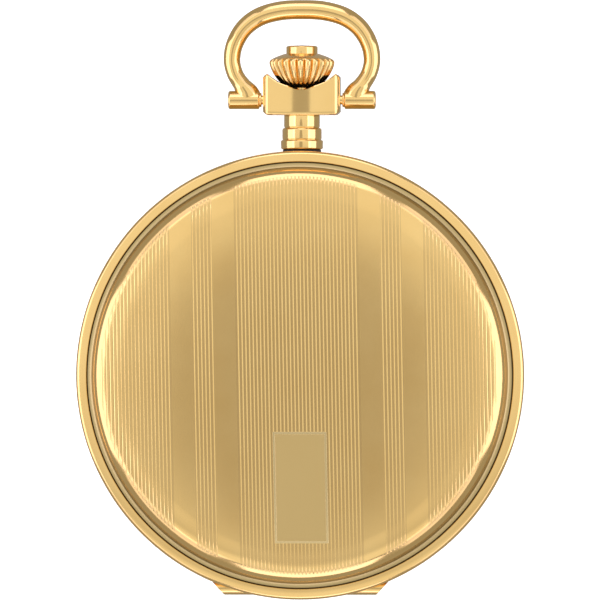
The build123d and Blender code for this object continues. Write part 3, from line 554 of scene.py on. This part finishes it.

# %% [markdown]
# ## Finishes of the movement
# Plates are nickelled and striped, wheels are brass with a straight grain, screws and hands are
# steel blued over a flame, jewels are ruby, and the dial is a matt silvered white. A black ring at
# the foot of the pendant's neck is painted shade: it stands for the dark gap there.

# %% Movement finishes
def grained_metal(name, light, dark, rough, grain, depth=0.003):
    """Metal with a grain: noise drawn out along one direction, in the tone and in the relief."""
    f = Finish(name, Metallic=1.0)
    here = f.place()[0]
    lines = f.noise(f.stretch(here, grain), 1.0, 5.0)
    patch = f.noise(here, 0.35, 3.0)
    f.set(Base_Color=f.blend(0.5 * lines + 0.5 * patch, light, dark), Roughness=rough + 0.14 * lines,
          Normal=f.relief(lines, depth))
    return f.material


STRIPE_WIDE = 1.6


def striped_nickel(name):
    """Broad polishing stripes, each a half-wave |sin(pi d / STRIPE_WIDE)| of the slanted distance
    d = x + 0.35 y, over a fine cross grain."""
    f = Finish(name, Metallic=1.0)
    here, x, y, _ = f.place()
    stripe = abs(((x + 0.35 * y) * (math.pi / STRIPE_WIDE)).sin())
    grain = f.noise(f.stretch(here, (6.0, 18.0, 6.0)), 1.0, 4.0)
    f.set(Base_Color=f.blend(stripe, colour(0.80, 0.78, 0.72), colour(0.62, 0.60, 0.56)),
          Roughness=0.20 + 0.12 * grain, Normal=f.relief(0.8 * stripe + 0.2 * grain, 0.02))
    return f.material


def plain(name, light, dark, rough, metal=0.0, depth=0.004, scale=1.5):
    """Unpolished stuff: mottled tone, uneven gloss, slight relief."""
    f = Finish(name, Metallic=metal)
    here = f.place()[0]
    mottle = f.noise(here, scale, 5.0)
    f.set(Base_Color=f.blend(mottle, light, dark), Roughness=rough + 0.12 * mottle,
          Normal=f.relief(mottle, depth))
    return f.material


FINISHES = {
    "gold": BRIGHT,
    "steel": grained_metal("grained_steel", colour(0.66, 0.66, 0.68), colour(0.46, 0.47, 0.49),
                           0.18, (8, 1, 4)),
    "blued_steel": plain("blued_steel", colour(0.03, 0.06, 0.30), colour(0.02, 0.03, 0.16),
                         0.14, 1.0, 0.001),
    "movement_brass": grained_metal("grained_brass", colour(0.86, 0.68, 0.36), colour(0.68, 0.50, 0.24),
                                    0.20, (1, 9, 4)),
    "nickel": striped_nickel("striped_nickel"),
    "ruby": plain("ruby_jewel", colour(0.55, 0.02, 0.10), colour(0.36, 0.01, 0.05), 0.05, 0.0, 0.0005),
    "dial": plain("silvered_dial", colour(0.86, 0.85, 0.80), colour(0.80, 0.79, 0.74), 0.42, 0.0, 0.004, 6.0),
    "gasket": plain("black_gasket", colour(0.03, 0.03, 0.03), colour(0.015, 0.015, 0.015), 0.65, 0.0, 0.01),
    "crystal": clear.material,
}
slot_of = {row["node"]: row["material_slot"] for row in frame["record"]["subparts"]}
for node_name, node in frame["nodes"].items():
    node.data.materials.clear()
    node.data.materials.append(FINISHES[slot_of[node_name]])
# painted shade: a black ring sits in the gap at the foot of the neck, where shade falls
shade_ring_profile = [(1.99, 23.9), (2.08, 23.95), (2.08, 24.38), (1.99, 24.42)]
shade_ring = dress(surface("neck_shade_ring", lathe(shade_ring_profile, 96, "Y", STEM), along=True), "case", FINISHES["gasket"])
print("carried-over nodes dressed:", len(frame["nodes"]))

# %% [markdown]
# ## Dial
# The dial carries Roman hours printed in black and a railway minute track. Each stroke is a thin
# slab with a rectangle for its outline, so the letters are sums of slanted bars.

# %% Dial printing
INK = plain("dial_ink", colour(0.02, 0.02, 0.03), colour(0.01, 0.01, 0.015), 0.35, 0.0, 0.002)
NUMERALS = ("XII", "I", "II", "III", "IV", "V", "", "VII", "VIII", "IX", "X", "XI")
WIDTHS = {"I": 0.62, "V": 1.35, "X": 1.35}
STROKES = {"I": [(0, 0, 0.30)], "V": [(-0.5, 0, 0.34), (0.5, 0, 0.16)],
           "X": [(-0.5, 0.5, 0.34), (0.5, -0.5, 0.16)]}
DIAL_TOP, INK_HIGH, NUMERAL_R, NUMERAL_TALL = 8.3, 0.04, 15.0, 2.9
MINUTES_R, RAIL_GAP, RAIL_HALF = 18.0, 0.4, 0.04
SECONDS_Y, SECONDS_R = -10.0, 4.1


def bar(a, b, width):
    """Corners of a bar from point a to point b."""
    a, b = np.asarray(a, float), np.asarray(b, float)
    side = np.array([a[1] - b[1], b[0] - a[0]]) / np.linalg.norm(b - a) * width / 2
    return np.array([a - side, b - side, b + side, a + side])


def turned_to(points, clockwise, radius):
    """Upright letter corners carried out to a radius and turned clockwise from twelve."""
    c, s = math.cos(-clockwise), math.sin(-clockwise)
    moved = points + (0, radius)
    return np.stack([moved[:, 0] * c - moved[:, 1] * s, moved[:, 0] * s + moved[:, 1] * c], 1)


outlines = []
for hour, word in enumerate(NUMERALS):
    left = -sum(WIDTHS[letter] for letter in word) / 2
    for letter in word:
        middle = left + WIDTHS[letter] / 2
        half = WIDTHS[letter] / 2 - 0.12
        for top, foot, width in STROKES[letter]:
            corners = bar((middle + 2 * top * half, NUMERAL_TALL / 2),
                          (middle + 2 * foot * half, -NUMERAL_TALL / 2), width)
            outlines.append(turned_to(corners, math.radians(30 * hour), NUMERAL_R))
        left += WIDTHS[letter]
for minute in range(60):
    wide = 0.24 if minute % 5 == 0 else 0.09
    outlines.append(turned_to(bar((0, -0.36), (0, 0.36), wide), math.radians(6 * minute), MINUTES_R))


def slabs(name, outlines, low, high):
    """One mesh of flat-topped slabs, a box for each four-cornered outline."""
    corners = np.array(outlines)
    bottom = np.concatenate([corners, np.full(corners.shape[:2] + (1,), low)], -1)
    top = np.concatenate([corners, np.full(corners.shape[:2] + (1,), high)], -1)
    points = np.concatenate([bottom, top], 1).reshape(-1, 3) * MM
    box = np.array([(3, 2, 1, 0), (4, 5, 6, 7), (0, 1, 5, 4), (1, 2, 6, 5), (2, 3, 7, 6), (3, 0, 4, 7)])
    faces = (box[None] + 8 * np.arange(len(corners))[:, None, None]).reshape(-1, 4)
    mesh = bpy.data.meshes.new(name)
    mesh.from_pydata(points.tolist(), [], faces.tolist())
    piece = bpy.data.objects.new(name, mesh)
    bpy.context.scene.collection.objects.link(piece)
    return piece


hours = dress(slabs("hour_numerals_and_minutes", outlines, DIAL_TOP - 0.01, DIAL_TOP + INK_HIGH), "case", INK)
for track, track_r in (("inner", MINUTES_R - RAIL_GAP), ("outer", MINUTES_R + RAIL_GAP)):
    rail_in, rail_out = track_r - RAIL_HALF, track_r + RAIL_HALF
    line = [(rail_in, DIAL_TOP - 0.01), (rail_out, DIAL_TOP - 0.01), (rail_out, DIAL_TOP + INK_HIGH),
            (rail_in, DIAL_TOP + INK_HIGH)]
    dress(surface(f"minute_rail_{track}", lathe(line, 240), along=True), "case", INK)
seconds = [turned_to(bar((0, -0.2), (0, 0.2), 0.12 if tick % 5 else 0.24), math.radians(30 * tick), SECONDS_R)
           + (0, SECONDS_Y) for tick in range(12)]
dress(slabs("seconds_marks", seconds, 8.19, 8.23), "case", INK)
print("dial marks:", len(outlines))

# %% [markdown]
# ## Studio
# A pale table, eight soft boxes round it and a broad ceiling panel with a dark patch over the watch:
# the dome mirrors the patch in its middle and the panel towards its shoulder.

# %% Floor and lights
def stage_card(name, half, z, finish):
    """Flat square of the studio, facing up or down, that is no part of the watch."""
    side = np.array([-half, half])
    grid = np.stack([*np.meshgrid(side, side, indexing="ij"), np.full((2, 2), z)], -1)
    card = surface(name, grid, around=False, caps=False)
    card.data.materials.append(finish)
    return card


pale = Finish("pale_table", Base_Color=colour(0.93, 0.93, 0.93), Roughness=0.9,
              Emission_Color=colour(1, 1, 0.97), Emission_Strength=0.66)
floor = stage_card("table", 3000.0, -0.4, pale.material)
floor.visible_glossy = False

ceiling = Finish("ceiling_panel", Base_Color=colour(0, 0, 0), Roughness=1.0, Emission_Strength=1.0)
_, cx, cy, _ = ceiling.place()
PATCH_X, PATCH_Y = -33.0, -12.0     # the camera's tilt carries the mirrored patch this far
PATCH_R, PATCH_SOFT = 96.0, 10.0
PANEL_HALF, PANEL_Z, PANEL_R, PANEL_SOFT = 800.0, 640.0, 680.0, 100.0
ARM_HALF, ARM_SOFT = 190.0, 60.0    # a cross of arms stays lit out to the panel's edge
shifted, lowered = cx - PATCH_X, cy - PATCH_Y
off_centre = (shifted * shifted + lowered * lowered).sqrt()
lit = ((off_centre - PATCH_R) / PATCH_SOFT).clamp()
slope = (0.94 + 0.0022 * cy).clamp() + ((0.0 - cy - 240.0) / 120.0).clamp()
shade = ceiling.blend((lit * slope).clamp(), colour(0.50, 0.50, 0.50), colour(0.98, 0.99, 1.0))
arms = ((ARM_HALF - abs(cx)) / ARM_SOFT).clamp() + ((ARM_HALF - abs(cy)) / ARM_SOFT).clamp()
fade = (((PANEL_R - off_centre) / PANEL_SOFT).clamp() + arms).clamp()
ceiling.set(Emission_Color=ceiling.blend(fade, colour(0.24, 0.24, 0.24), shade))
panel = stage_card("ceiling", PANEL_HALF, PANEL_Z, ceiling.material)
panel.visible_camera = False
panel.visible_shadow = False
COOL = (1.0, 0.95, 1.25)


def soft_box(name, place, size, brightness, aim=(0.0, 0.0, 0.006)):
    """Rectangular lamp that faces the watch; its power is brightness times pi times its area."""
    lamp = bpy.data.lights.new(name, "AREA")
    lamp.shape = "RECTANGLE"
    lamp.size, lamp.size_y = size
    lamp.color = COOL
    lamp.energy = brightness * math.pi * size[0] * size[1]
    holder = bpy.data.objects.new(name, lamp)
    holder.location = place
    holder.rotation_euler = (Vector(place) - Vector(aim)).to_track_quat("Z", "Y").to_euler()
    bpy.context.scene.collection.objects.link(holder)
    holder.visible_camera = False
    return holder


soft_box("left_box", (-0.55, 0.0, 0.28), (0.50, 0.54), 1.5)
soft_box("right_box", (0.55, 0.0, 0.28), (0.50, 0.54), 1.5)
soft_box("far_box", (0.0, 0.55, 0.34), (0.40, 0.36), 1.4)
soft_box("near_box", (0.0, -0.55, 0.30), (0.40, 0.30), 1.5)
for corner, (side_x, side_y) in enumerate(((-1, 1), (1, 1), (1, -1), (-1, -1))):
    soft_box(f"corner_box_{corner}", (0.40 * side_x, 0.40 * side_y, 0.42), (0.36, 0.34), 0.85)

world = bpy.data.worlds.new("room")
world.use_nodes = True
world.node_tree.nodes["Background"].inputs[0].default_value = colour(0.80, 0.80, 0.80)
world.node_tree.nodes["Background"].inputs[1].default_value = 0.50
bpy.context.scene.world = world
bpy.context.scene.view_settings.view_transform = "Standard"

# %% [markdown]
# ## Camera
# The camera looks straight down on the cover from three degrees to its right, with a long lens.

# %% Camera
LOOK_AT = np.array([0.0, 8.14, 9.5])
TILT, FAR, VIEW_WIDE = math.radians(3.0), 1400.0, 64.86
toward = np.array([math.sin(TILT), 0.0, math.cos(TILT)])
lens = bpy.data.cameras.new("camera")
lens.sensor_width = 36.0
lens.lens = 36.0 * FAR / VIEW_WIDE
lens.clip_start, lens.clip_end = 0.01, 20.0
camera = bpy.data.objects.new("camera", lens)
camera.location = (LOOK_AT + toward * FAR) * MM
upright = np.array([0.0, 1.0, 0.0])
turned_by = Matrix(np.stack([np.cross(upright, toward), upright, toward], 1).tolist())
camera.rotation_euler = turned_by.to_euler()
bpy.context.scene.collection.objects.link(camera)
bpy.context.scene.camera = camera
print("camera at", [round(v, 4) for v in camera.location])
